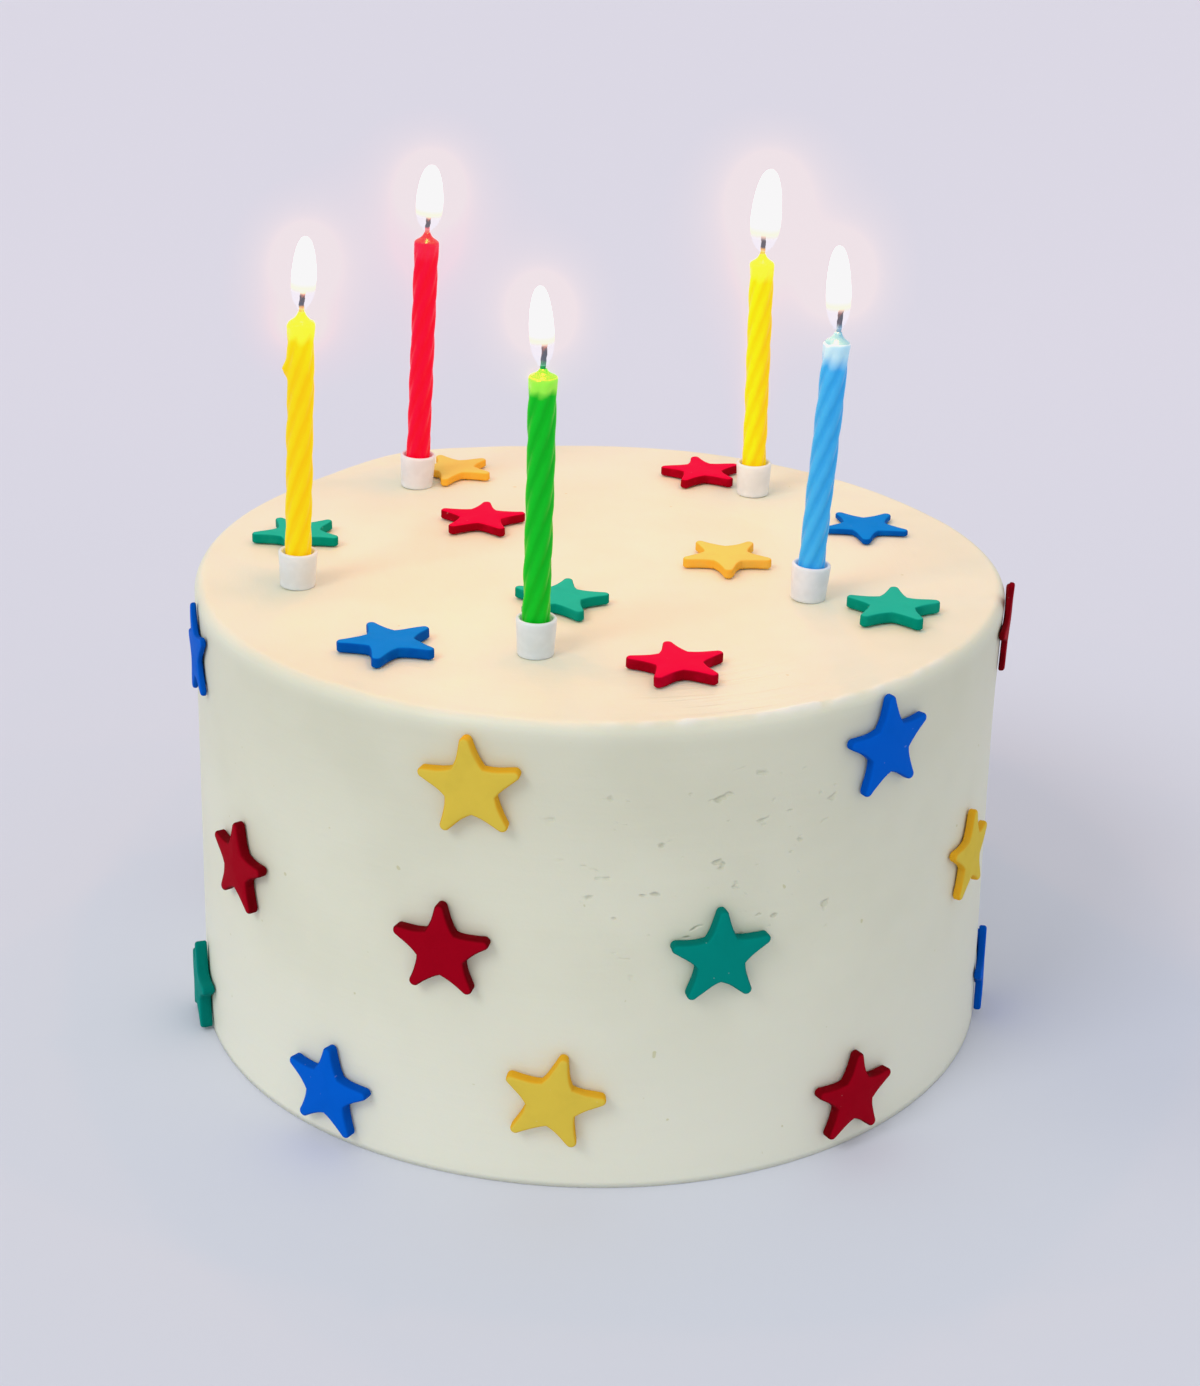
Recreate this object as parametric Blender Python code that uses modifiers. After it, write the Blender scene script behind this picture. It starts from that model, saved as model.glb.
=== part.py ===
# Birthday cake: a round iced cake, fondant stars pressed on it, and five lit spiral candles in holders.
# Metres, +Z up. The origin is the middle of the cake's flat underside, and the cake's front faces -Y.
# Angles round the cake are measured from its front, and grow towards +X.

import math

import bmesh
import bpy
from mathutils import Matrix, Vector

MM = 0.001

# Iced cake
CAKE_HEIGHT = 94.6 * MM
TOP_RADIUS = 81.5 * MM
FOOT_RADIUS = 83.2 * MM
RIM_ROUNDING = 2.2 * MM
RIM_STEPS = 3
CAKE_SEGMENTS = 72
TOP_RING_RADII = (44.0 * MM, 76.7 * MM)
SIDE_RINGS = 5

# The hand-spread icing is slightly out of round: crests in a turn, depth, and angle of a crest
ICING_WAVES = (
    (2, 0.35 * MM, math.radians(48)),
    (3, 0.30 * MM, math.radians(-38)),
    (5, 0.15 * MM, math.radians(20)),
)

# Lips of icing that the palette knife left at the rim: angle, spread, how far out and up,
# and how fast they fade down the side
LIPS = (
    (math.radians(-147), math.radians(13), 1.9 * MM, 1.4 * MM, 2),
    (math.radians(88), math.radians(22), 1.3 * MM, 0.0, 6),
)

# Fondant stars, all from one cutter
STAR_RADIUS = 9.9 * MM
STAR_NOTCH_SHARE = 0.47
STAR_TIP_ROUNDING = 0.95 * MM
STAR_EDGE_BEVEL = 0.45 * MM
STAR_ARMS = 5
FIT_GAP = 0.3 * MM

# Colour, angle round the cake, height of the middle, turn anticlockwise, size, thickness
SIDE_STARS = (
    ("blue", -72.3, 84.2, 14.4, 0.98, 1.1),
    ("yellow", -15.0, 81.8, 5.7, 1.00, 2.3),
    ("blue", 40.8, 83.5, 2.2, 1.03, 1.8),
    ("red", 80.2, 88.9, 13.5, 0.97, 1.2),
    ("red", -54.6, 49.2, -3.5, 0.96, 2.1),
    ("red", -18.8, 48.5, 0.4, 0.97, 2.4),
    ("green", 16.6, 48.7, -0.8, 0.98, 2.3),
    ("yellow", 63.8, 48.6, -1.3, 0.97, 1.7),
    ("green", -74.2, 8.4, 0.0, 0.97, 2.5),
    ("blue", -36.1, 11.3, -4.4, 1.00, 2.4),
    ("yellow", -4.3, 19.4, -12.5, 1.00, 2.3),
    ("red", 37.5, 11.2, -3.5, 0.96, 2.3),
    ("blue", 81.1, 10.1, 3.6, 0.97, 1.5),
    ("green", 130.0, 82.6, -7.0, 0.99, 2.2),
    ("yellow", 178.0, 80.4, 12.0, 0.98, 2.2),
    ("red", -126.0, 83.4, -3.0, 0.97, 2.0),
    ("blue", 112.0, 47.4, 9.0, 1.00, 2.2),
    ("red", 147.0, 50.6, -5.0, 0.97, 2.3),
    ("green", -178.0, 46.6, 4.0, 0.98, 2.1),
    ("yellow", -143.0, 49.2, -9.0, 0.99, 2.3),
    ("blue", -110.0, 51.0, 3.0, 1.00, 2.2),
    ("green", 124.0, 13.8, 6.0, 0.98, 2.2),
    ("yellow", 161.0, 18.4, -10.0, 0.99, 2.3),
    ("blue", -158.0, 12.4, 2.0, 1.01, 2.2),
    ("red", -118.0, 16.0, -6.0, 0.96, 2.3),
)

# Colour, place to the right and to the back of the middle, turn anticlockwise, size, thickness
TOP_STARS = (
    ("green", -62.2, 11.3, 31.9, 0.96, 2.0),
    ("yellow", -32.3, 56.8, 25.5, 0.93, 1.8),
    ("red", -24.5, 23.2, -5.2, 0.96, 1.9),
    ("red", 23.6, 57.3, 8.0, 0.94, 2.0),
    ("yellow", 26.8, 1.6, 36.5, 0.96, 2.0),
    ("blue", 57.2, 23.3, 33.0, 0.96, 1.3),
    ("green", 58.0, -25.9, -7.7, 0.96, 2.3),
    ("green", -6.9, -23.9, -9.6, 0.99, 2.1),
    ("blue", -38.3, -48.2, 26.3, 0.98, 2.1),
    ("red", 15.4, -56.1, 10.9, 0.97, 2.1),
)

# Candle holders: small plastic cups that stand on the icing
HOLDER_HEIGHT = 7.0 * MM
HOLDER_RIM_RADIUS = 3.87 * MM
HOLDER_FOOT_RADIUS = 3.5 * MM
HOLDER_RIM_ROUNDING = 0.25 * MM
HOLDER_BORE_RADIUS = 3.1 * MM
HOLDER_FLOOR = 0.8 * MM
HOLDER_SEGMENTS = 24
HOLDER_GAP = 0.4 * MM

# Spiral candles
CANDLE_RADIUS = 2.5 * MM
CANDLE_RIDGE_HEIGHT = 0.16 * MM
CANDLE_RIDGES = 6
POINTS_PER_RIDGE = 3
TURN_LENGTH = 45.0 * MM
CANDLE_STEP = 3.0 * MM
# The melted top, from the shoulder up: height below the wax's tip and share of the candle's radius
MELTED_TOP = ((4.0 * MM, 1.0), (2.5 * MM, 1.03), (1.7 * MM, 0.93), (1.1 * MM, 0.55), (0.0, 0.26))

# Wicks
WICK_RADIUS = 0.5 * MM
WICK_POINTS = 5
WICK_BEND = 0.3 * MM

# Flames: a teardrop round the wick, open below so that the wick stands free inside it
FLAME_BELLY = 0.66
FLAME_FULLNESS = 0.45
FLAME_RISE = 0.6 * MM
FLAME_MOUTH_RADIUS = 1.75 * MM
FLAME_BORE_RADIUS = 1.6 * MM
FLAME_SEGMENTS = 16
FLAME_STEPS_ABOVE = 5
FLAME_STEPS_BELOW = 3

# Name, wax colour, place to the right and back, lean to the right, wax tip, wick length;
# then the flame's length from the wax tip, its own lean, and its radius
CANDLES = (
    ("yellow_left", "yellow", -59.2, -14.7, 2.6, 55.2, 4.4, 14.5, 5.3, 2.35),
    ("red", "red", -40.1, 48.9, 3.0, 56.5, 4.0, 14.4, 5.2, 2.85),
    ("green", "green", -10.9, -48.5, 1.1, 54.4, 5.4, 14.9, -2.4, 2.22),
    ("yellow_right", "yellow", 34.7, 47.3, -0.1, 53.4, 5.0, 18.1, 3.2, 3.20),
    ("blue", "blue", 42.2, -17.1, 3.3, 53.8, 5.3, 16.4, -2.7, 2.36),
)

# The run of wax on the left yellow candle: distance below the wax's tip, and half sizes
WAX_RUN_DROP = 11.5 * MM
WAX_RUN_SIZE = (1.3 * MM, 1.2 * MM, 1.9 * MM)
WAX_RUN_OUT = 2.5 * MM

# Finishes: colour, roughness
ICING = ((0.80, 0.78, 0.66), 0.5)
FONDANT = {
    "blue": ((0.01, 0.13, 0.60), 0.55),
    "red": ((0.48, 0.005, 0.03), 0.55),
    "green": ((0.01, 0.33, 0.20), 0.55),
    "yellow": ((0.78, 0.55, 0.10), 0.55),
}
WAX = {
    "yellow": ((0.95, 0.70, 0.02), 0.35),
    "red": ((0.90, 0.01, 0.04), 0.35),
    "green": ((0.02, 0.50, 0.04), 0.35),
    "blue": ((0.06, 0.38, 0.78), 0.35),
}
HOLDER_PLASTIC = ((0.80, 0.82, 0.80), 0.4)
WICK_CHAR = ((0.03, 0.025, 0.03), 0.9)
FLAME_GLOW = ((1.0, 0.95, 0.82), 0.5)


def clear_scene():
    for old in list(bpy.data.objects):
        bpy.data.objects.remove(old, do_unlink=True)


def new_collection(name):
    collection = bpy.data.collections.new(name)
    bpy.context.scene.collection.children.link(collection)
    return collection


def finish(name, look):
    """One material for each finish, shared by the pieces that have it."""
    known = bpy.data.materials.get(name)
    if known:
        return known
    colour, roughness = look
    material = bpy.data.materials.new(name)
    material.use_nodes = True
    shader = material.node_tree.nodes["Principled BSDF"]
    shader.inputs["Base Color"].default_value = (*colour, 1.0)
    shader.inputs["Roughness"].default_value = roughness
    shader.inputs["Metallic"].default_value = 0.0
    return material


def add_object(name, data, collection, material=None, parent=None):
    piece = bpy.data.objects.new(name, data)
    collection.objects.link(piece)
    if material:
        data.materials.append(material)
    if parent:
        piece.parent = parent
    return piece


def turned_piece(name, profile, segments, collection, material=None, parent=None):
    """A profile of (radius, height) points, from the top down the outer side, turned about Z."""
    outline = bpy.data.meshes.new(name)
    points = [(radius, 0.0, height) for radius, height in profile]
    edges = [(index, index + 1) for index in range(len(points) - 1)]
    outline.from_pydata(points, edges, [])
    piece = add_object(name, outline, collection, material, parent)
    turn = piece.modifiers.new("Turn", "SCREW")
    turn.axis = "Z"
    turn.angle = math.tau
    turn.steps = segments
    turn.render_steps = segments
    turn.use_merge_vertices = True
    turn.merge_threshold = 0.01 * MM
    return piece


def settle_mesh(piece):
    """Turns a piece's evaluated shape into its own welded mesh."""
    bpy.context.view_layer.update()
    evaluated = piece.evaluated_get(bpy.context.evaluated_depsgraph_get())
    mesh = bpy.data.meshes.new_from_object(evaluated)
    working = bmesh.new()
    working.from_mesh(mesh)
    bmesh.ops.remove_doubles(working, verts=working.verts, dist=0.01 * MM)
    bmesh.ops.recalc_face_normals(working, faces=working.faces)
    working.to_mesh(mesh)
    working.free()
    mesh.name = piece.name
    return mesh


def replace_with_mesh(piece, collection):
    """Swaps a curve or a piece with modifiers for a plain mesh object of the same name and place."""
    mesh = settle_mesh(piece)
    name = piece.name
    parent = piece.parent
    placed = piece.matrix_basis.copy()
    bpy.data.objects.remove(piece, do_unlink=True)
    solid = bpy.data.objects.new(name, mesh)
    collection.objects.link(solid)
    solid.parent = parent
    solid.matrix_basis = placed
    return solid


def lip_share(angle, lip_angle, spread):
    """How much of a lip stands at this angle, from 0 to 1."""
    away = math.remainder(angle - lip_angle, math.tau)
    return math.exp(-((away / spread) ** 2))


def icing_offset(angle, height):
    """How far the spread icing stands out of the plain round form."""
    waves = sum(depth * math.cos(crests * (angle - crest)) for crests, depth, crest in ICING_WAVES)
    share = height / CAKE_HEIGHT
    lips = sum(out * lip_share(angle, at, spread) * share ** fading for at, spread, out, _, fading in LIPS)
    return waves + lips


def plain_radius(height):
    return FOOT_RADIUS + (TOP_RADIUS - FOOT_RADIUS) * height / CAKE_HEIGHT


def icing_point(angle, height, out):
    """A point at this angle and height, this far out of the icing's surface."""
    radius = plain_radius(height) + icing_offset(angle, height) + out
    return Vector((radius * math.sin(angle), -radius * math.cos(angle), height))


def cake_profile():
    profile = [(0.0, CAKE_HEIGHT)]
    profile += [(radius, CAKE_HEIGHT) for radius in TOP_RING_RADII]
    rim_base = CAKE_HEIGHT - RIM_ROUNDING
    rim_centre = plain_radius(rim_base) - RIM_ROUNDING
    for step in range(RIM_STEPS + 1):
        turn = math.pi / 2 * step / RIM_STEPS
        radius = rim_centre + RIM_ROUNDING * math.sin(turn)
        profile.append((radius, rim_base + RIM_ROUNDING * math.cos(turn)))
    for ring in range(SIDE_RINGS - 1, -1, -1):
        height = rim_base * ring / SIDE_RINGS
        profile.append((plain_radius(height), height))
    profile.append((0.0, 0.0))
    return profile


def make_cake(collection):
    """The cake under its icing is uncut, so it is one solid."""
    turned = turned_piece("cake", cake_profile(), CAKE_SEGMENTS, collection, finish("icing", ICING))
    cake = replace_with_mesh(turned, collection)
    for vertex in cake.data.vertices:
        place = vertex.co
        radius = math.hypot(place.x, place.y)
        if radius < MM:
            continue
        angle = math.atan2(place.x, -place.y)
        share = radius / plain_radius(place.z)
        grown = radius + share * icing_offset(angle, place.z)
        near_rim = max(0.0, (radius - TOP_RING_RADII[-1]) / (TOP_RADIUS - TOP_RING_RADII[-1]))
        lift = sum(up * lip_share(angle, at, spread) for at, spread, _, up, _ in LIPS)
        lift *= near_rim * (place.z / CAKE_HEIGHT) ** 3
        vertex.co = (grown * math.sin(angle), -grown * math.cos(angle), place.z + lift)
    return cake


def star_outline(radius):
    """Outline of a fat star with rounded tips; its first tip points along +Y."""
    outline = []
    tip_centre = radius - STAR_TIP_ROUNDING
    for arm in range(STAR_ARMS):
        along = math.pi / 2 + math.tau * arm / STAR_ARMS
        middle = Vector((math.cos(along), math.sin(along), 0.0)) * tip_centre
        for side in (-1, 0, 1):
            turned = along + side * math.radians(68)
            outline.append(middle + Vector((math.cos(turned), math.sin(turned), 0.0)) * STAR_TIP_ROUNDING)
        notch = along + math.pi / STAR_ARMS
        outline.append(Vector((math.cos(notch), math.sin(notch), 0.0)) * radius * STAR_NOTCH_SHARE)
    return outline


def star_mesh(name, size, thickness, turn):
    """A flat star with its back at z = 0, its front edge bevelled, and both faces fanned from the middle."""
    flat = bpy.data.curves.new(name, "CURVE")
    flat.dimensions = "2D"
    flat.fill_mode = "BOTH"
    flat.extrude = thickness / 2
    outline = star_outline(STAR_RADIUS * size)
    spline = flat.splines.new("POLY")
    spline.points.add(len(outline) - 1)
    for point, corner in zip(spline.points, outline):
        point.co = (*corner, 1.0)
    spline.use_cyclic_u = True
    blank = bpy.data.objects.new(name, flat)
    bpy.context.scene.collection.objects.link(blank)
    mesh = settle_mesh(blank)
    bpy.data.objects.remove(blank, do_unlink=True)
    working = bmesh.new()
    working.from_mesh(mesh)
    bmesh.ops.dissolve_limit(
        working, angle_limit=math.radians(1), verts=working.verts, edges=working.edges, delimit={"NORMAL"}
    )
    placing = Matrix.Rotation(turn, 4, "Z") @ Matrix.Translation((0, 0, thickness / 2))
    bmesh.ops.transform(working, matrix=placing, verts=working.verts)
    front = [face for face in working.faces if face.normal.z > 0.9]
    rim = [edge for face in front for edge in face.edges]
    bmesh.ops.bevel(
        working, geom=rim, offset=STAR_EDGE_BEVEL, segments=1, profile=0.5, affect="EDGES", clamp_overlap=True
    )
    flats = [face for face in working.faces if abs(face.normal.z) > 0.9]
    bmesh.ops.poke(working, faces=flats)
    bmesh.ops.recalc_face_normals(working, faces=working.faces)
    working.to_mesh(mesh)
    working.free()
    return mesh


def make_side_star(index, place, collection):
    """A star pressed round the cake's side, bent to the icing."""
    colour, angle, height, turn, size, thickness = place
    name = f"star_side_{index:02d}"
    mesh = star_mesh(name, size, thickness * MM, math.radians(turn))
    middle = math.radians(angle)
    height *= MM
    for vertex in mesh.vertices:
        local = vertex.co
        spread = local.x / (plain_radius(height) + FIT_GAP)
        vertex.co = icing_point(middle + spread, height + local.y, FIT_GAP + local.z)
    add_object(name, mesh, collection, finish("fondant_" + colour, FONDANT[colour]))


def make_top_star(index, place, collection):
    colour, right, back, turn, size, thickness = place
    name = f"star_top_{index:02d}"
    mesh = star_mesh(name, size, thickness * MM, math.radians(turn))
    star = add_object(name, mesh, collection, finish("fondant_" + colour, FONDANT[colour]))
    star.location = (right * MM, back * MM, CAKE_HEIGHT + FIT_GAP)


def ridged_outline(guides):
    """The candle's cross-section: a circle with small ridges, as a closed curve."""
    section = bpy.data.curves.new("candle_section", "CURVE")
    section.dimensions = "2D"
    section.fill_mode = "NONE"
    count = CANDLE_RIDGES * POINTS_PER_RIDGE
    spline = section.splines.new("POLY")
    spline.points.add(count - 1)
    for index, point in enumerate(spline.points):
        angle = math.tau * index / count
        radius = CANDLE_RADIUS + CANDLE_RIDGE_HEIGHT * math.cos(CANDLE_RIDGES * angle)
        point.co = (radius * math.cos(angle), radius * math.sin(angle), 0.0, 1.0)
    spline.use_cyclic_u = True
    guide = add_object("candle_section", section, guides)
    guide.hide_render = True
    guide.display_type = "WIRE"
    return guide


def candle_stations(wax_tip):
    """Heights up the candle, and the share of its radius there."""
    foot = HOLDER_FLOOR + FIT_GAP
    shoulder = wax_tip - MELTED_TOP[0][0]
    steps = round((shoulder - foot) / CANDLE_STEP)
    stations = [(foot + (shoulder - foot) * step / steps, 1.0) for step in range(steps)]
    stations += [(wax_tip - drop, share) for drop, share in MELTED_TOP]
    return stations


def make_candle(name, wax_tip, section, collection, material, stand):
    """A twisted ridged candle: the section swept straight up, and tilted as it goes."""
    path = bpy.data.curves.new(name, "CURVE")
    path.dimensions = "3D"
    path.bevel_mode = "OBJECT"
    path.bevel_object = section
    path.use_fill_caps = True
    stations = candle_stations(wax_tip)
    spline = path.splines.new("POLY")
    spline.points.add(len(stations) - 1)
    for point, (height, share) in zip(spline.points, stations):
        point.co = (0.0, 0.0, height, 1.0)
        point.radius = share
        point.tilt = math.tau * height / TURN_LENGTH
    candle = add_object(name, path, collection, material, stand)
    return replace_with_mesh(candle, collection)


def add_wax_run(candle, wax_tip, guides):
    """A run of wax that has set on the candle's left side, joined to it."""
    mesh = bpy.data.meshes.new("wax_run")
    working = bmesh.new()
    stretch = Matrix.Diagonal((*WAX_RUN_SIZE, 1.0))
    bmesh.ops.create_icosphere(working, subdivisions=1, radius=1.0, matrix=stretch)
    working.to_mesh(mesh)
    working.free()
    run = add_object("wax_run", mesh, guides, None, candle.parent)
    run.location = (-WAX_RUN_OUT, 0.0, wax_tip - WAX_RUN_DROP)
    run.hide_render = True
    run.display_type = "WIRE"
    joined = candle.modifiers.new("Wax run", "BOOLEAN")
    joined.operation = "UNION"
    joined.object = run


def make_holder(name, collection, stand):
    """A plastic cup, slightly wider at its rim; the candle stands in its bore."""
    rim = HOLDER_RIM_ROUNDING
    profile = [
        (0.0, HOLDER_FLOOR),
        (HOLDER_BORE_RADIUS, HOLDER_FLOOR),
        (HOLDER_BORE_RADIUS, HOLDER_HEIGHT - rim),
        (HOLDER_BORE_RADIUS + rim, HOLDER_HEIGHT),
        (HOLDER_RIM_RADIUS - rim, HOLDER_HEIGHT),
        (HOLDER_RIM_RADIUS, HOLDER_HEIGHT - rim),
        (HOLDER_FOOT_RADIUS, 0.0),
        (0.0, 0.0),
    ]
    turned_piece(name, profile, HOLDER_SEGMENTS, collection, finish("holder_plastic", HOLDER_PLASTIC), stand)


def make_wick(name, wax_tip, length, collection, stand):
    """A charred wick that bends a little to the right; it starts just above the wax."""
    wick = bpy.data.curves.new(name, "CURVE")
    wick.dimensions = "3D"
    wick.bevel_depth = WICK_RADIUS
    wick.bevel_resolution = 2
    wick.use_fill_caps = True
    spline = wick.splines.new("POLY")
    spline.points.add(WICK_POINTS - 1)
    for index, point in enumerate(spline.points):
        share = index / (WICK_POINTS - 1)
        bend = WICK_BEND * share ** 2
        point.co = (bend, 0.0, wax_tip + FIT_GAP + length * share, 1.0)
    piece = add_object(name, wick, collection, finish("wick_char", WICK_CHAR), stand)
    replace_with_mesh(piece, collection)


def flame_profile(tip, radius, wick_length):
    """A teardrop from its tip down to its mouth, then up the wick's bore; heights are above the wax's tip."""
    length = tip - FLAME_RISE
    profile = [(0.0, tip)]
    for step in range(1, FLAME_STEPS_ABOVE + 1):
        share = FLAME_BELLY * (step / FLAME_STEPS_ABOVE) ** 1.5
        swell = (1 - (1 - share / FLAME_BELLY) ** 2) ** FLAME_FULLNESS
        profile.append((radius * swell, tip - length * share))
    for step in range(1, FLAME_STEPS_BELOW + 1):
        turn = math.pi / 2 * step / FLAME_STEPS_BELOW
        share = FLAME_BELLY + (1 - FLAME_BELLY) * math.sin(turn)
        profile.append((max(radius * math.cos(turn), FLAME_MOUTH_RADIUS), tip - length * share))
    bore_top = FIT_GAP + wick_length + 2 * FIT_GAP
    profile.append((FLAME_BORE_RADIUS, FLAME_RISE))
    profile.append((FLAME_BORE_RADIUS, bore_top))
    profile.append((0.0, bore_top + FLAME_BORE_RADIUS / 2))
    return profile


def make_flame(name, wax_tip, profile, lean, collection, stand):
    """A flame that stands on the wax's tip and leans its own way."""
    flame = turned_piece(name, profile, FLAME_SEGMENTS, collection, finish("flame_glow", FLAME_GLOW), stand)
    flame.location = (0.0, 0.0, wax_tip)
    flame.rotation_euler = (0.0, lean, 0.0)


def make_candle_set(place, section, collection, guides):
    """Holder, candle, wick and flame, all on one stand that leans as the candle does."""
    name, colour, right, back, lean, wax_tip, wick_length, flame_length, flame_lean, flame_radius = place
    stand = bpy.data.objects.new("stand_" + name, None)
    guides.objects.link(stand)
    stand.location = (right * MM, back * MM, CAKE_HEIGHT + HOLDER_GAP)
    stand.rotation_euler = (0.0, math.radians(lean), 0.0)
    wax_tip *= MM
    make_holder("holder_" + name, collection, stand)
    wax = finish("wax_" + colour, WAX[colour])
    candle = make_candle("candle_" + name, wax_tip, section, collection, wax, stand)
    if name == "yellow_left":
        add_wax_run(candle, wax_tip, guides)
    make_wick("wick_" + name, wax_tip, wick_length * MM, collection, stand)
    profile = flame_profile(flame_length * MM, flame_radius * MM, wick_length * MM)
    make_flame("flame_" + name, wax_tip, profile, math.radians(flame_lean - lean), collection, stand)


def make_birthday_cake():
    clear_scene()
    pieces = new_collection("Birthday cake")
    guides = new_collection("Guides")
    make_cake(pieces)
    for index, place in enumerate(SIDE_STARS, start=1):
        make_side_star(index, place, pieces)
    for index, place in enumerate(TOP_STARS, start=1):
        make_top_star(index, place, pieces)
    section = ridged_outline(guides)
    for place in CANDLES:
        make_candle_set(place, section, pieces, guides)


make_birthday_cake()
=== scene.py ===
import math

import bpy
import numpy as np
from mathutils import Matrix, Vector, noise


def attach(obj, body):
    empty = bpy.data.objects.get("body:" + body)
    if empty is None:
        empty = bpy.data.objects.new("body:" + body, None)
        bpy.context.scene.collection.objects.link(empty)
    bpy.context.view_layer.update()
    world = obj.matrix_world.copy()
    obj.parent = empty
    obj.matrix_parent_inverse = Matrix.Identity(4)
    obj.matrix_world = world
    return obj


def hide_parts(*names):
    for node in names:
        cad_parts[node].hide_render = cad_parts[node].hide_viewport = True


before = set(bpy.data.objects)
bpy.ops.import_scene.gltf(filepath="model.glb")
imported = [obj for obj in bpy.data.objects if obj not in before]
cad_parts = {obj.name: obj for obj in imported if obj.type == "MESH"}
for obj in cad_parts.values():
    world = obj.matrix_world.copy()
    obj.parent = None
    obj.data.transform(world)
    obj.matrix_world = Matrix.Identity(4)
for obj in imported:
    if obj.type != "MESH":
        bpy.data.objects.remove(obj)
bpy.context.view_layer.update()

mm = 0.001


# shader maths

class Sock:
    # wraps a socket that gives a value, so that shader maths is written as plain expressions
    def __init__(self, graph, out):
        self.graph = graph
        self.out = out

    def maths(self, operation, first, second):
        return self.graph.node("ShaderNodeMath", {"operation": operation}, {0: first, 1: second})

    def __add__(self, other):
        return self.maths("ADD", self, other)

    def __radd__(self, other):
        return self.maths("ADD", other, self)

    def __sub__(self, other):
        return self.maths("SUBTRACT", self, other)

    def __rsub__(self, other):
        return self.maths("SUBTRACT", other, self)

    def __mul__(self, other):
        return self.maths("MULTIPLY", self, other)

    def __rmul__(self, other):
        return self.maths("MULTIPLY", other, self)

    def __pow__(self, other):
        return self.maths("POWER", self, other)


class Finish:
    # one material and the nodes that make it
    def __init__(self, name, **constants):
        self.material = bpy.data.materials.new(name)
        self.material.use_nodes = True
        self.tree = self.material.node_tree
        self.shader = self.tree.nodes["Principled BSDF"]
        for socket, value in constants.items():
            self.shader.inputs[socket.replace("_", " ")].default_value = value

    def plug(self, socket, value):
        if isinstance(value, Sock):
            self.tree.links.new(value.out, socket)
        elif hasattr(value, "__len__") and socket.type == "RGBA" and len(value) == 3:
            socket.default_value = (*value, 1.0)
        else:
            socket.default_value = value

    def node(self, kind, settings=None, sockets=None, give=0):
        made = self.tree.nodes.new(kind)
        for name, value in (settings or {}).items():
            if name == "stops":
                stops = made.color_ramp.elements
                while len(stops) < len(value):
                    stops.new(1.0)
                for stop, (place, colour) in zip(stops, value):
                    stop.position = place
                    stop.color = (*colour, 1.0)
            else:
                setattr(made, name, value)
        for name, value in (sockets or {}).items():
            self.plug(made.inputs[name], value)
        return Sock(self, made.outputs[give])

    def attribute(self, name):
        return self.node("ShaderNodeAttribute", {"attribute_name": name}, give="Fac")

    def place(self):
        return self.node("ShaderNodeTexCoord", give="Object")

    def split(self, vector):
        parts = self.node("ShaderNodeSeparateXYZ", None, {0: vector})
        return [Sock(self, out) for out in parts.out.node.outputs]

    def join(self, x, y, z):
        return self.node("ShaderNodeCombineXYZ", None, {0: x, 1: y, 2: z})

    def scaled(self, vector, scale):
        return self.node("ShaderNodeVectorMath", {"operation": "MULTIPLY"}, {0: vector, 1: scale})

    def noise(self, vector, scale, detail, rough):
        sockets = {"Vector": vector, "Scale": scale, "Detail": detail, "Roughness": rough}
        return self.node("ShaderNodeTexNoise", None, sockets)

    def fade(self, value, start, end):
        sockets = {0: value, 1: start, 2: end, 3: 0.0, 4: 1.0}
        return self.node("ShaderNodeMapRange", {"interpolation_type": "SMOOTHSTEP"}, sockets)

    def away(self, vector, spot):
        return self.node("ShaderNodeVectorMath", {"operation": "DISTANCE"}, {0: vector, 1: spot}, give=1)

    def ramp(self, value, stops):
        return self.node("ShaderNodeValToRGB", {"stops": stops}, {0: value})

    def mix(self, share, first, second, blend="MIX"):
        settings = {"data_type": "RGBA", "blend_type": blend}
        return self.node("ShaderNodeMix", settings, {0: share, 6: first, 7: second}, give=2)

    def bump(self, height, distance, strength):
        sockets = {"Height": height, "Distance": distance, "Strength": strength}
        self.feed("Normal", self.node("ShaderNodeBump", None, sockets))

    def feed(self, socket, value):
        self.plug(self.shader.inputs[socket], value)


# mesh helpers

def heading(angle):
    return Vector((math.cos(angle), math.sin(angle), 0.0))


def hump(away, width):
    # 1 in the middle, fading to nothing on both sides
    return math.exp(-((away / width) ** 2))


def ringFaces(rings, around):
    faces = []
    for ring in range(rings - 1):
        low, high = ring * around, (ring + 1) * around
        for step in range(around):
            after = (step + 1) % around
            faces.append((low + step, low + after, high + after, high + step))
    return faces


def addMesh(name, points, faces, finish, attributes=None):
    mesh = bpy.data.meshes.new(name)
    mesh.from_pydata([tuple(point) for point in points], [], faces)
    for label, values in (attributes or {}).items():
        layer = mesh.attributes.new(label, "FLOAT", "POINT")
        layer.data.foreach_set("value", np.asarray(values, dtype=np.float32))
    mesh.materials.append(finish.material)
    mesh.shade_smooth()
    mesh.update()
    piece = bpy.data.objects.new(name, mesh)
    bpy.context.scene.collection.objects.link(piece)
    return piece


def sweepRings(rings, around):
    # closes a stack of rings, listed from the lowest, with a fan at each end
    points = [point for ring in rings for point in ring]
    faces = ringFaces(len(rings), around)
    low, high = len(points), len(points) + 1
    last = (len(rings) - 1) * around
    points.append(sum(rings[0], Vector()) / around)
    points.append(sum(rings[-1], Vector()) / around)
    for step in range(around):
        after = (step + 1) % around
        faces.append((low, after, step))
        faces.append((high, last + step, last + after))
    return points, faces


def stand(piece, node):
    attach(piece, "root")
    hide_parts(node)


# iced cake

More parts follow.
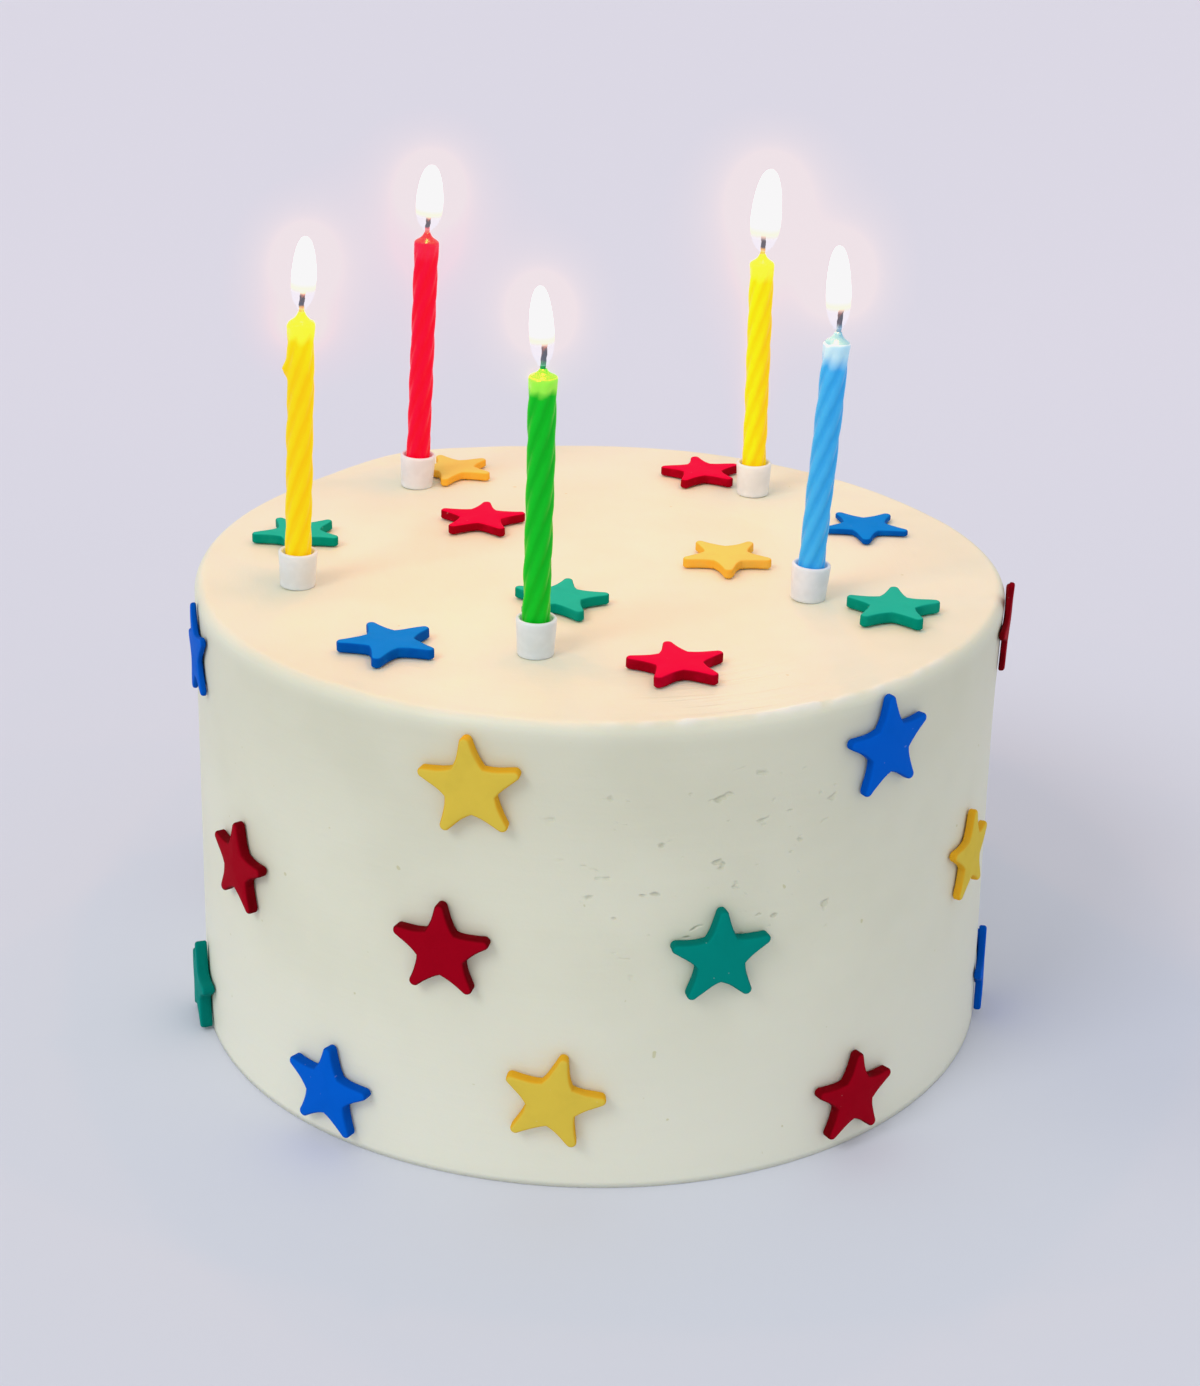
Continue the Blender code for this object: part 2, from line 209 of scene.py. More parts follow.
icing = {
    "height": 94.6 * mm,
    "topRadius": 81.5 * mm,
    "footRadius": 83.2 * mm,
    "rimRounding": 2.2 * mm,
    "waves": ((2, 0.35 * mm, 48), (3, 0.30 * mm, -38), (5, 0.15 * mm, 20)),  # crests, depth, angle of one
    "lips": (  # angle, spread, how far out and up, how fast it fades down the side
        (math.radians(-147), math.radians(13), 1.9 * mm, 1.4 * mm, 2),
        (math.radians(88), math.radians(22), 1.3 * mm, 0.0, 6),
    ),
    "lipInside": 76.7 * mm,
    "liftFading": 3,  # how fast the lips' rise fades down the side
    # soft bead of icing all along the rim
    "bead": {"inset": 1.6 * mm, "width": 1.5 * mm, "length": 13 * mm, "least": 0.16 * mm,
             "swelling": 0.38 * mm},
    # ragged ridge that the knife left on the edge at the front right, with a pale painted highlight along it
    "ridge": {"angle": math.radians(28), "spread": math.radians(22), "inset": 1.0 * mm, "drop": 0.3 * mm,
              "width": 0.75 * mm, "height": 1.1 * mm, "length": 3.6 * mm, "fill": 0.30,
              "highlightGain": 1.9, "highlightMost": 0.75},
    # the knife's marks: broad swells, and fine strokes that run round the cake
    "swell": {"length": 34 * mm, "height": 0.09 * mm},
    "stroke": {"length": 21 * mm, "width": 4.2 * mm, "height": 0.035 * mm},
    "plainFoot": 3 * mm,
    "topSpacing": 0.8,  # below 1, the rings gather at the rim
    "around": 540,
    "sideRings": 74,
    "rimRings": 9,
    "topRings": 44,
    "colour": (0.825, 0.825, 0.650),
    "shade": (0.78, 0.78, 0.605),
    # painted light: the icing paler towards the foot, as if lit from below
    "paintedFootLight": (0.865, 0.865, 0.710),
    # painted shade: the upper side darker below the rim
    "paintedRimShade": (0.93, 0.925, 0.91),
    "crumb": (0.62, 0.60, 0.33),
    # painted shade in the pits
    "pitShade": (0.60, 0.61, 0.42),
    "tornPlace": (22 * mm, -80 * mm, 70 * mm),
    "smearPlace": (30 * mm, -72 * mm, 94.6 * mm),
    # painted highlight along the knife's ridge
    "ridgeHighlight": (0.95, 0.935, 0.83),
}


def plainRadius(z):
    share = z / icing["height"]
    return icing["footRadius"] + (icing["topRadius"] - icing["footRadius"]) * share


def lipShare(angle, lipAngle, spread):
    return hump(math.remainder(angle - lipAngle, math.tau), spread)


def icingOffset(angle, z):
    offset = 0.0
    for crests, depth, crest in icing["waves"]:
        offset += depth * math.cos(crests * (angle - math.radians(crest)))
    for at, spread, out, _, fading in icing["lips"]:
        offset += out * lipShare(angle, at, spread) * (z / icing["height"]) ** fading
    return offset


def roundPoint(angle, radius, z):
    # angle 0 is the cake's front
    return Vector((radius * math.sin(angle), -radius * math.cos(angle), z))


def icingPoint(angle, z, out):
    return roundPoint(angle, plainRadius(z) + icingOffset(angle, z) + out, z)


def spreadMarks(place, along):
    swell, stroke = icing["swell"], icing["stroke"]
    stretched = Vector((place.x / stroke["length"], place.y / stroke["length"], along / stroke["width"]))
    return noise.noise(place / swell["length"]) * swell["height"] + noise.noise(stretched) * stroke["height"]


def icingProfile():
    height, rounding = icing["height"], icing["rimRounding"]
    rimBase = height - rounding
    rimCentre = plainRadius(rimBase) - rounding
    profile = []  # radius, height, outward, upward
    for ring in range(1, icing["topRings"] + 1):
        profile.append((rimCentre * (ring / icing["topRings"]) ** icing["topSpacing"], height, 0.0, 1.0))
    for ring in range(1, icing["rimRings"] + 1):
        turn = math.pi / 2 * ring / icing["rimRings"]
        out, up = math.sin(turn), math.cos(turn)
        profile.append((rimCentre + rounding * out, rimBase + rounding * up, out, up))
    for ring in range(icing["sideRings"] - 1, -1, -1):
        z = rimBase * ring / icing["sideRings"]
        profile.append((plainRadius(z), z, 1.0, 0.0))
    return profile[::-1]


def makeIcing(finish):
    around, height = icing["around"], icing["height"]
    bead, ridge = icing["bead"], icing["ridge"]
    rings, paintedHighlight = [], []
    for radius, z, outward, upward in icingProfile():
        ring = []
        inward = icing["topRadius"] - radius
        onBead = hump(math.hypot(inward - bead["inset"], z - height), bead["width"])
        onRidge = hump(math.hypot(inward - ridge["inset"], z - height + ridge["drop"]), ridge["width"])
        nearRim = max(0.0, (radius - icing["lipInside"]) / (icing["topRadius"] - icing["lipInside"]))
        for step in range(around):
            angle = math.remainder(math.tau * step / around, math.tau)
            grown = radius + radius / plainRadius(z) * icingOffset(angle, z)
            flat = roundPoint(angle, grown, z)
            marks = spreadMarks(flat, z - radius) * min(1.0, z / icing["plainFoot"])
            ragged = onRidge * lipShare(angle, ridge["angle"], ridge["spread"])
            ragged *= max(0.0, noise.noise(flat / ridge["length"]) + ridge["fill"])
            # painted highlight along the ragged ridge
            paintedHighlight.append(min(ridge["highlightMost"], ridge["highlightGain"] * ragged))
            beaded = max(0.0, noise.noise(flat / bead["length"] + Vector((3, 1, 7))))
            rise = onBead * (bead["least"] + bead["swelling"] * beaded) + ridge["height"] * ragged
            lift = sum(up * lipShare(angle, at, spread) for at, spread, _, up, _ in icing["lips"])
            rise += lift * nearRim * (z / height) ** icing["liftFading"]
            ring.append(roundPoint(angle, grown + outward * marks, z + upward * marks + rise))
        rings.append(ring)
    points, faces = sweepRings(rings, around)
    # the ragged attribute carries the ridge's painted highlight
    cake = addMesh("icedCake", points, faces, finish, {"ragged": paintedHighlight + [0.0, 0.0]})
    stand(cake, "cake")


def icingFinish():
    look = Finish("spreadIcing", IOR=1.42, Subsurface_Weight=0.22, Subsurface_Radius=(1.0, 0.75, 0.45),
                  Subsurface_Scale=2.2 * mm)
    place = look.place()
    x, y, z = look.split(place)
    radius = (x * x + y * y) ** 0.5
    along = z - radius  # runs down the side and in over the top without a break
    streaked = look.join(x * 60, y * 60, along * 420)
    strokes = look.noise(streaked, scale=1.0, detail=3.0, rough=0.55)
    patches = look.noise(place, scale=34.0, detail=3.0, rough=0.5)
    grain = look.noise(place, scale=1500.0, detail=2.0, rough=0.6)
    # small pits, wider than they are tall, where the knife tore the icing; most are right of the front
    torn = look.noise(look.scaled(place, (1.0, 1.0, 1.6)), scale=350.0, detail=1.0, rough=0.4)
    tornNear = 1 - look.fade(look.away(place, icing["tornPlace"]), 8 * mm, 52 * mm)
    where = look.noise(place, scale=60.0, detail=1.0, rough=0.4) * 0.5 + tornNear * 0.42
    pits = look.fade(torn, 0.675, 0.83) * look.fade(where, 0.42, 0.62) * (1 - look.fade(z, 80 * mm, 88 * mm))
    crumbs = look.fade(look.noise(place, scale=520.0, detail=0.0, rough=0.3), 0.872, 0.90)
    # the knife's last smears, parallel to the rim
    smearNear = 1 - look.fade(look.away(place, icing["smearPlace"]), 6 * mm, 34 * mm)
    smears = look.noise(look.join(x * 26, y * 26, radius * 430), scale=1.0, detail=2.0, rough=0.5)
    smears = look.fade(smears, 0.46, 0.62) * smearNear * look.fade(z, 92 * mm, 93.8 * mm)
    colour = look.mix(look.fade(patches, 0.35, 0.70), icing["colour"], icing["shade"])
    # painted light: paler towards the foot, as if lit from below
    colour = look.mix(1 - look.fade(z, 3 * mm, 52 * mm), colour, icing["paintedFootLight"])
    # painted shade: the upper side made darker below the rim
    high = look.fade(z, 52 * mm, 86 * mm) * (1 - look.fade(z, 90 * mm, 93.5 * mm))
    colour = look.mix(high, colour, icing["paintedRimShade"], "MULTIPLY")
    # painted shade in the pits the knife tore
    colour = look.mix(pits * 0.75, colour, icing["pitShade"])
    # painted highlight along the knife's ridge
    colour = look.mix(look.attribute("ragged"), colour, icing["ridgeHighlight"])
    colour = look.mix(crumbs * 0.7, colour, icing["crumb"])
    look.feed("Base Color", colour)
    look.feed("Roughness", 0.40 + patches * 0.16)
    height = strokes * 0.40 + grain * 0.10 - pits * 2.4 + smears * 0.6
    look.bump(height, distance=0.35 * mm, strength=0.55)
    return look


print("iced cake")
makeIcing(icingFinish())


# fondant stars

fondant = {
    "radius": 9.9 * mm,
    "notchShare": 0.465,
    "tipRounding": 1.0 * mm,
    "tipTurn": math.radians(68),  # how far the rounding reaches to each side of a tip
    "armWobble": 0.018,
    "sideEdge": 0.62 * mm,
    "topEdge": 0.42 * mm,
    "footInset": 0.25 * mm,
    "hollow": 0.10 * mm,
    "notchFill": 0.34 * mm,
    "crown": 0.10 * mm,
    "ragged": {"length": 2.6 * mm, "depth": 0.09 * mm},  # along the outline
    "dent": {"length": 5.5 * mm, "depth": 0.12 * mm},  # in the face
    "gap": 0.3 * mm,
    "arms": 5,
    "tipSteps": 4,
    "flankSteps": 6,
    "wallSteps": 3,
    "edgeSteps": 5,
    "faceSteps": (0.3, 0.6, 0.85),
    # face, cut edge darkened as painted shade
    "blue": ((0.0, 0.120, 0.65), (0.0, 0.080, 0.46)),
    "red": ((0.36, 0.0, 0.010), (0.15, 0.0, 0.003)),
    "green": ((0.0, 0.265, 0.215), (0.0, 0.185, 0.150)),
    "yellow": ((0.78, 0.580, 0.070), (0.80, 0.42, 0.020)),
    # the same on the cake's top, painted lighter and warmer in place of the flames' light
    "blueTop": ((0.002, 0.222, 0.71), (0.0, 0.090, 0.44)),
    "redTop": ((0.84, 0.0, 0.048), (0.30, 0.0, 0.008)),
    "greenTop": ((0.016, 0.46, 0.335), (0.0, 0.26, 0.185)),
    "yellowTop": ((0.86, 0.62, 0.135), (0.88, 0.46, 0.045)),
    "crumb": (0.95, 0.92, 0.85),
}

# colour, angle round the cake, height, turn, size, thickness (degrees and mm)
sideStars = (
    ("blue", -72.3, 84.2, 14.4, 0.98, 1.1), ("yellow", -15.0, 81.8, 5.7, 1.00, 2.3),
    ("blue", 40.8, 83.5, 2.2, 1.03, 1.8), ("red", 80.2, 88.9, 13.5, 0.97, 1.2),
    ("red", -54.6, 49.2, -3.5, 0.96, 2.1), ("red", -18.8, 48.5, 0.4, 0.97, 2.4),
    ("green", 16.6, 48.7, -0.8, 0.98, 2.3), ("yellow", 63.8, 48.6, -1.3, 0.97, 1.7),
    ("green", -74.2, 8.4, 0.0, 0.97, 2.5), ("blue", -36.1, 11.3, -4.4, 1.00, 2.4),
    ("yellow", -4.3, 19.4, -12.5, 1.00, 2.3), ("red", 37.5, 11.2, -3.5, 0.96, 2.3),
    ("blue", 81.1, 10.1, 3.6, 0.97, 1.5), ("green", 130.0, 82.6, -7.0, 0.99, 2.2),
    ("yellow", 178.0, 80.4, 12.0, 0.98, 2.2), ("red", -126.0, 83.4, -3.0, 0.97, 2.0),
    ("blue", 112.0, 47.4, 9.0, 1.00, 2.2), ("red", 147.0, 50.6, -5.0, 0.97, 2.3),
    ("green", -178.0, 46.6, 4.0, 0.98, 2.1), ("yellow", -143.0, 49.2, -9.0, 0.99, 2.3),
    ("blue", -110.0, 51.0, 3.0, 1.00, 2.2), ("green", 124.0, 13.8, 6.0, 0.98, 2.2),
    ("yellow", 161.0, 18.4, -10.0, 0.99, 2.3), ("blue", -158.0, 12.4, 2.0, 1.01, 2.2),
    ("red", -118.0, 16.0, -6.0, 0.96, 2.3),
)

# colour, place to the right and back, turn, size, thickness (degrees and mm)
topStars = (
    ("green", -62.2, 11.3, 31.9, 0.96, 2.0), ("yellow", -32.3, 56.8, 25.5, 0.93, 1.8),
    ("red", -24.5, 23.2, -5.2, 0.96, 1.9), ("red", 23.6, 57.3, 8.0, 0.94, 2.0),
    ("yellow", 26.8, 1.6, 36.5, 0.96, 2.0), ("blue", 57.2, 23.3, 33.0, 0.96, 1.3),
    ("green", 58.0, -25.9, -7.7, 0.96, 2.3), ("green", -6.9, -23.9, -9.6, 0.99, 2.1),
    ("blue", -38.3, -48.2, 26.3, 0.98, 2.1), ("red", 15.4, -56.1, 10.9, 0.97, 2.1),
)


def starEdge(radius, seed):
    # points of the outline and their outward directions, tip first, with slightly hollow flanks
    rounding, arms, tipTurn = fondant["tipRounding"], fondant["arms"], fondant["tipTurn"]
    tipSteps, flankSteps, filling = fondant["tipSteps"], fondant["flankSteps"], fondant["notchFill"]
    edge = []
    for arm in range(arms):
        along = math.pi / 2 + math.tau * arm / arms
        wobble = 1 + fondant["armWobble"] * noise.noise(Vector((arm * 2.7, seed * 1.9, 0.5)))
        tip = heading(along) * (radius * wobble - rounding)
        for step in range(-tipSteps, tipSteps + 1):
            out = heading(along + tipTurn * step / tipSteps)
            edge.append((tip + out * rounding, out))
        notch = heading(along + math.pi / arms) * radius * fondant["notchShare"]
        notchOut = notch.normalized()
        nextAlong = along + math.tau / arms
        start = edge[-1][0]
        end = heading(nextAlong) * (radius - rounding) + heading(nextAlong - tipTurn) * rounding
        for first, last in ((start, notch), (notch, end)):
            run = last - first
            out = Vector((run.y, -run.x, 0.0)).normalized()
            for step in range(1, flankSteps):
                share = step / flankSteps
                inner = share if last is notch else 1 - share
                fill = notchOut * filling * max(0.0, 2 * inner - 1) ** 2
                hollow = out * fondant["hollow"] * math.sin(math.pi * share)
                edge.append((first + run * share - hollow + fill, out))
            if last is notch:
                edge.append((notch + notchOut * filling, notchOut))
    return edge


def starLayers(thickness, rounding):
    # inset, height, how much of the face it is
    footInset, wallSteps, edgeSteps = fondant["footInset"], fondant["wallSteps"], fondant["edgeSteps"]
    layers = [(footInset, 0.0, 0.0), (0.0, footInset, 0.0)]
    for step in range(1, wallSteps + 1):
        layers.append((0.0, (thickness - rounding) * step / wallSteps, 0.0))
    for step in range(1, edgeSteps + 1):
        bend = math.pi / 2 * step / edgeSteps
        inset, drop = rounding * (1 - math.cos(bend)), rounding * (1 - math.sin(bend))
        layers.append((inset, thickness - drop, step / edgeSteps))
    return layers


def makeStar(name, place, finish, seed):
    thickness = place["thickness"] * mm
    ragged, dent = fondant["ragged"], fondant["dent"]
    edge = starEdge(fondant["radius"] * place["size"], seed)
    rings, faceShare = [], []
    for inset, height, share in starLayers(thickness, min(place["edge"], thickness / 2)):
        ring = []
        for point, out in edge:
            flat = point - out * inset
            spot = Vector((flat.x, flat.y, height)) / ragged["length"] + Vector((seed * 3.1, 0, 0))
            moved = noise.noise(spot) * ragged["depth"]
            ring.append(Vector((flat.x + out.x * moved, flat.y + out.y * moved, height)))
        rings.append(ring)
        faceShare += [share] * len(edge)
    rim = rings[-1]
    for share in fondant["faceSteps"]:
        crown = fondant["crown"] * math.sin(share * math.pi / 2)
        left = 1 - share
        rings.append([Vector((point.x * left, point.y * left, point.z + crown)) for point in rim])
        faceShare += [1.0] * len(edge)
    points, faces = sweepRings(rings, len(edge))
    faceShare += [0.0, 1.0]
    turn = Matrix.Rotation(math.radians(place["turn"]), 3, "Z")
    shaped = []
    for point in points:
        spot = point / dent["length"] + Vector((0, seed * 4.3, 0))
        raised = Vector((0, 0, noise.noise(spot) * dent["depth"] * (point.z / thickness)))
        shaped.append(place["put"](turn @ point + raised))
    return addMesh(name, shaped, faces, finish, {"face": faceShare})


def fondantFinish(colour):
    face, shadedWall = fondant[colour]
    look = Finish("fondant" + colour[0].upper() + colour[1:], IOR=1.4, Specular_IOR_Level=0.035,
                  Subsurface_Weight=0.08, Subsurface_Radius=(1.0, 0.6, 0.4), Subsurface_Scale=0.8 * mm)
    place = look.place()
    facing = look.fade(look.attribute("face"), 0.30, 0.85)
    cloud = look.noise(place, scale=190.0, detail=3.0, rough=0.55)
    grain = look.noise(place, scale=2600.0, detail=2.0, rough=0.6)
    # painted shade: the cut edges get a darker colour than the face
    body = look.mix(facing, shadedWall, face)
    darker = tuple(channel * 0.86 for channel in face)
    body = look.mix(look.fade(cloud, 0.45, 0.75) * 0.4, body, darker)
    # specks of icing sugar
    dust = look.fade(look.noise(place, scale=1300.0, detail=0.0, rough=0.3), 0.85, 0.89)
    look.feed("Base Color", look.mix(dust * 0.09, body, fondant["crumb"]))
    look.feed("Roughness", 0.54 + cloud * 0.16)
    look.bump(cloud * 0.5 + grain * 0.16, distance=0.20 * mm, strength=0.55)
    return look


print("fondant stars")
colours = ("blue", "red", "green", "yellow")
# each colour has a second copy, painted lighter by the flames' light, for the stars on the cake's top
fondants = {colour + level: fondantFinish(colour + level) for colour in colours for level in ("", "Top")}
for index, (colour, angle, height, turn, size, thickness) in enumerate(sideStars, start=1):
    middle, level = math.radians(angle), height * mm

    def putOnSide(point, middle=middle, level=level):
        spread = point.x / (plainRadius(level) + fondant["gap"])
        return icingPoint(middle + spread, level + point.y, fondant["gap"] + point.z)

    place = {"size": size, "turn": turn, "thickness": thickness}
    place.update(edge=fondant["sideEdge"], put=putOnSide)
    star = makeStar(f"starSide{index:02d}", place, fondants[colour], index)
    stand(star, f"star_side_{index:02d}")
for index, (colour, right, back, turn, size, thickness) in enumerate(topStars, start=1):
    spot = Vector((right * mm, back * mm, icing["height"] + fondant["gap"]))

    def putOnTop(point, spot=spot):
        return spot + point

    place = {"size": size, "turn": turn, "thickness": thickness}
    place.update(edge=fondant["topEdge"], put=putOnTop)
    # the top stars use the copies painted lighter by the flames' light
    star = makeStar(f"starTop{index:02d}", place, fondants[colour + "Top"], 50 + index)
    stand(star, f"star_top_{index:02d}")


# candles, holders, wicks and flames

candle = {
    "radius": 2.36 * mm,
    "ridge": 0.27 * mm,
    "ridges": 6,
    "ridgePower": 0.65,  # below 1, the ridges are broader than the grooves
    "turnLength": 45 * mm,
    "plain": (0.55, 0.6),  # how high the melted top stands among the ridges, and how pale it is
    "around": 96,
    "step": 0.36 * mm,
    "foot": 1.1 * mm,
    "grain": {"length": 1.7 * mm, "height": 0.05 * mm},
    "swell": {"length": 4.5 * mm, "height": 0.12 * mm},
    "sag": {"from": 1.9 * mm, "to": 4.7 * mm, "drop": 0.45 * mm},  # between these two depths below the tip
    # share of the radius, depth below the wax's tip in mm, share of the ridges left
    "top": (
        (1.00, 4.0, 1.0), (1.005, 3.6, 0.8), (1.015, 3.2, 0.6), (1.03, 2.8, 0.45), (1.035, 2.5, 0.3),
        (1.03, 2.2, 0.2), (1.00, 1.98, 0.15), (0.95, 1.80, 0.1), (0.87, 1.63, 0.05), (0.77, 1.46, 0.0),
        (0.66, 1.28, 0.0), (0.54, 1.06, 0.0), (0.43, 0.78, 0.0), (0.33, 0.42, 0.0), (0.26, 0.0, 0.0),
    ),
    "neck": 1.98,  # depth in mm where the cone ends
    "crownShare": 0.98,  # rings narrower than this are the cone
    # groove with painted shade, ridge, melted wax
    "yellow": ((0.93, 0.60, 0.001), (0.95, 0.68, 0.004), (0.94, 0.80, 0.045)),
    "red": ((0.84, 0.0, 0.022), (0.93, 0.0, 0.034), (0.96, 0.012, 0.055)),
    "green": ((0.0, 0.42, 0.010), (0.002, 0.50, 0.016), (0.30, 0.80, 0.070)),
    "blue": ((0.026, 0.335, 0.745), (0.050, 0.41, 0.81), (0.42, 0.69, 0.83)),
    # factors on the melted colour for the cone, which the flame shines on: a painted shaded copy that offsets
    # the flame's light
    "crown": {"yellow": (1.0, 0.97, 0.8), "red": (1.0, 2.0, 0.8), "green": (0.36, 0.78, 0.60),
              "blue": (0.34, 0.58, 0.70)},
    # sheen at the thin edges
    "rim": {"yellow": (1.0, 0.75, 0.15), "red": (1.0, 0.15, 0.25), "green": (0.45, 0.95, 0.10),
            "blue": (0.50, 0.62, 1.0)},
    # how far in mm the melted wax reaches below the tip, and how softly it ends
    "meltDepth": {"yellow": (4.6, 1.8), "red": (4.6, 1.8), "green": (3.7, 1.2), "blue": (5.2, 2.8)},
    "meltWander": (0.8, 0.5),  # with the sag, with the ridges
    # a drop that ran down one candle's left side, and the thin trail above it
    "run": {"candle": "yellow_left", "below": 11.5 * mm, "out": 0.90 * mm, "width": 1.15 * mm,
            "tall": 1.5 * mm, "trailOut": 0.16 * mm, "trailWidth": 0.8 * mm, "trailLength": 9 * mm},
}

holder = {
    "height": 7.0 * mm,
    "rimRadius": 3.87 * mm,
    "footRadius": 3.5 * mm,
    "bore": 3.1 * mm,
    "floor": 0.8 * mm,
    "boreEdge": 0.3 * mm,
    "footEdge": ((0.4 * mm, 0.0), (0.1 * mm, 0.06 * mm), (0.0, 0.3 * mm)),  # inset and height
    "wallFoot": 0.35 * mm,
    "wallSteps": 8,
    "lipSteps": 8,
    "around": 72,
    "gap": 0.4 * mm,
    "clear": 0.05 * mm,  # what is left of the gap under the foot
    "colour": (0.735, 0.80, 0.85),
}

wick = {
    "radius": 0.5 * mm,
    "bend": 0.3 * mm,
    "sunk": 1.0 * mm,
    "bareFrom": 0.3 * mm,  # above the wax's tip
    "sway": (0.05 * mm, 0.04 * mm),  # to the right, back
    "strands": 3,
    "twist": 22,
    "strandHeight": 0.09,
    "fray": 0.10,
    "taperFrom": 0.93,  # share of the wick's length
    "taper": 0.55,
    "around": 20,
    "rings": 44,
    # the foot that has soaked up wax
    "soaked": {"yellow": (0.95, 0.62, 0.12), "red": (0.90, 0.16, 0.18), "green": (0.0, 0.30, 0.08),
               "blue": (0.25, 0.46, 0.62)},
}

flame = {
    "belly": 0.66,  # share of the way down from the tip
    "fullness": 0.45,  # below 0.5, the shoulders are fuller than an ellipse's
    "rise": 0.6 * mm,
    "mouth": 1.0 * mm,
    "sway": (0.10 * mm, 0.06 * mm),  # to the right, back
    "ringSpacing": 1.25,  # above 1, the rings gather at the tip
    "around": 48,
    "rings": 64,
    "glow": 2.4,
    "power": 0.038,
    "light": (1.0, 0.34, 0.05),
    "lightAt": 0.85,  # share of the flame's length
    "lightRadius": 2.2 * mm,
}

# place to the right and back, lean, wax tip, wick length, and how tall the melted cone is;
# then the flame's length, lean, radius and clear foot (degrees and mm)
candleSets = {
    "yellow_left": {
        "wax": "yellow", "at": (-59.2, -14.7), "lean": 2.6, "tip": 55.2, "wick": 4.4, "cone": 1.10,
        "flame": 14.5, "flameLean": 5.3, "flameRadius": 2.35, "clear": 4.6,
    },
    "red": {
        "wax": "red", "at": (-40.1, 48.9), "lean": 3.0, "tip": 56.5, "wick": 4.0, "cone": 1.0,
        "flame": 14.4, "flameLean": 5.2, "flameRadius": 2.85, "clear": 4.0,
    },
    "green": {
        "wax": "green", "at": (-10.9, -48.5), "lean": 1.1, "tip": 54.4, "wick": 5.4, "cone": 0.72,
        "flame": 14.9, "flameLean": -2.4, "flameRadius": 2.22, "clear": 5.0,
    },
    "yellow_right": {
        "wax": "yellow", "at": (34.7, 47.3), "lean": -0.1, "tip": 53.4, "wick": 5.0, "cone": 1.0,
        "flame": 18.1, "flameLean": 3.2, "flameRadius": 3.20, "clear": 4.2,
    },
    "blue": {
        "wax": "blue", "at": (42.2, -17.1), "lean": 3.3, "tip": 53.8, "wick": 5.3, "cone": 1.10,
        "flame": 16.4, "flameLean": -2.7, "flameRadius": 2.36, "clear": 4.7,
    },
}


def candleTop(cone):
    # the melted top's rings; a cone below 1 is flatter
    neck = candle["neck"]
    return [(share, drop * cone if drop <= neck else drop + neck * (cone - 1), left)
            for share, drop, left in candle["top"]]


def waxRun(angle, height, waxTip):
    run = candle["run"]
    side = math.remainder(angle - math.pi, math.tau) * candle["radius"]
    rise = height - (waxTip - run["below"])
    out = run["out"] * hump(side, run["width"]) * hump(rise, run["tall"])
    if 0 < rise < run["trailLength"]:
        out += run["trailOut"] * hump(side, run["trailWidth"])
    return out


def candleRings(waxTip, cone, meltDepth, seed, hasRun):
    foot, grain, swell, sagging = candle["foot"], candle["grain"], candle["swell"], candle["sag"]
    plainHeight, plainLobe = candle["plain"]
    reach, softness = meltDepth
    withSag, withRidges = candle["meltWander"]
    top = candleTop(cone)
    shoulder = waxTip - top[0][1] * mm
    count = round((shoulder - foot) / candle["step"])
    stations = [(1.0, foot + (shoulder - foot) * step / count, 1.0) for step in range(count)]
    stations += [(share, waxTip - drop * mm, left) for share, drop, left in top]
    rings, melt, groove, crown = [], [], [], []
    for share, height, left in stations:
        ring = []
        below = waxTip - height
        twist = math.tau * height / candle["turnLength"]
        for step in range(candle["around"]):
            angle = math.tau * step / candle["around"]
            direction = heading(angle)
            lobe = (0.5 + 0.5 * math.cos(candle["ridges"] * (angle - twist))) ** candle["ridgePower"]
            away = candle["radius"] + candle["ridge"] * (lobe * left + plainHeight * (1 - left))
            spot = direction * away + Vector((0, 0, height))
            away += noise.noise(spot / grain["length"] + Vector((seed * 5.0, 0, 0))) * grain["height"]
            away += noise.noise(spot / swell["length"] + Vector((0, seed * 3.0, 0))) * swell["height"]
            sag = noise.noise(direction * 1.3 + Vector((seed * 2.3, 0, 1.0)))
            if hasRun:
                away += waxRun(angle, height, waxTip)
            lower = sagging["drop"] * sag if sagging["from"] < below < sagging["to"] else 0.0
            ring.append(direction * away * share + Vector((0, 0, height + lower)))
            edge = reach + withSag * sag + withRidges * lobe
            melt.append(min(1.0, max(0.0, (edge - below / mm) / softness + 0.5)))
            groove.append(lobe * left + plainLobe * (1 - left))
            crown.append(1.0 if share < candle["crownShare"] else 0.0)
        rings.append(ring)
    return rings, melt, groove, crown


def makeCandle(name, place, stage, finish, seed):
    waxTip = place["tip"] * mm
    meltDepth = candle["meltDepth"][place["wax"]]
    hasRun = name == candle["run"]["candle"]
    rings, melt, groove, crown = candleRings(waxTip, place["cone"], meltDepth, seed, hasRun)
    points, faces = sweepRings(rings, candle["around"])
    melt += [0.0, 1.0]
    groove += [0.5, 0.5]
    crown += [0.0, 1.0]
    up = [point.z / waxTip for point in points]
    piece = addMesh("candleWax." + name, [stage @ point for point in points], faces, finish,
                    {"melt": melt, "lobe": groove, "crown": crown, "up": up})
    stand(piece, "candle_" + name)


